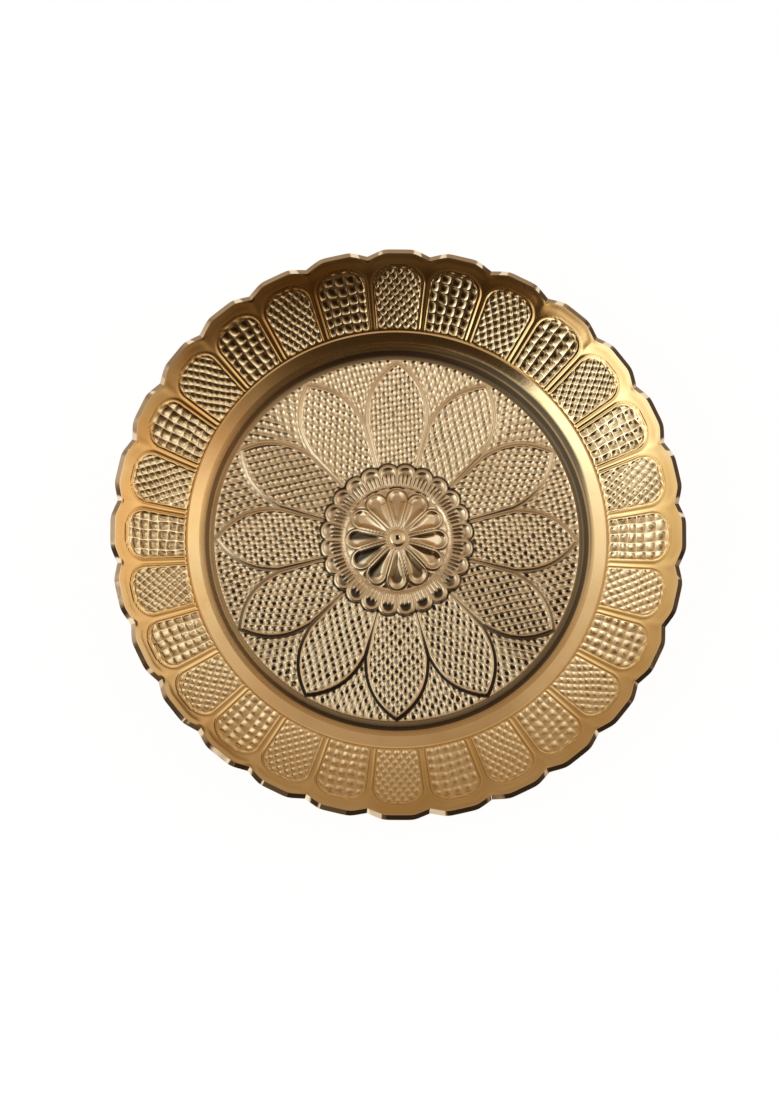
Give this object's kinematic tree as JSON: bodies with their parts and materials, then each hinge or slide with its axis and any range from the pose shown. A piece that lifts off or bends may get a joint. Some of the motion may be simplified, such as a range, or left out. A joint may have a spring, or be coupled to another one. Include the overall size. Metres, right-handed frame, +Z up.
{
  "type": "thali plate",
  "caption": "Round scalloped brass plate with a sloping petalled rim, a bevelled lip and an embossed lotus medallion riveted into its shallow well.",
  "frame": {"origin": "on the table, under the middle of the plate", "axes": "+Z up out of the plate's face; +X and +Y each point at the middle of a scallop"},
  "size_m": [0.203, 0.203, 0.021],
  "materials": {
    "dish_brass": "polished warm brass, embossed, darker in the recesses",
    "medallion_brass": "satin brass, cross-hatched, darker in the recesses",
    "rivet_brass": "polished brass"
  },
  "bodies": {
    "root": {"dish": "dish_brass", "medallion": "medallion_brass", "centre_rivet": "rivet_brass"}
  },
  "joints": []
}
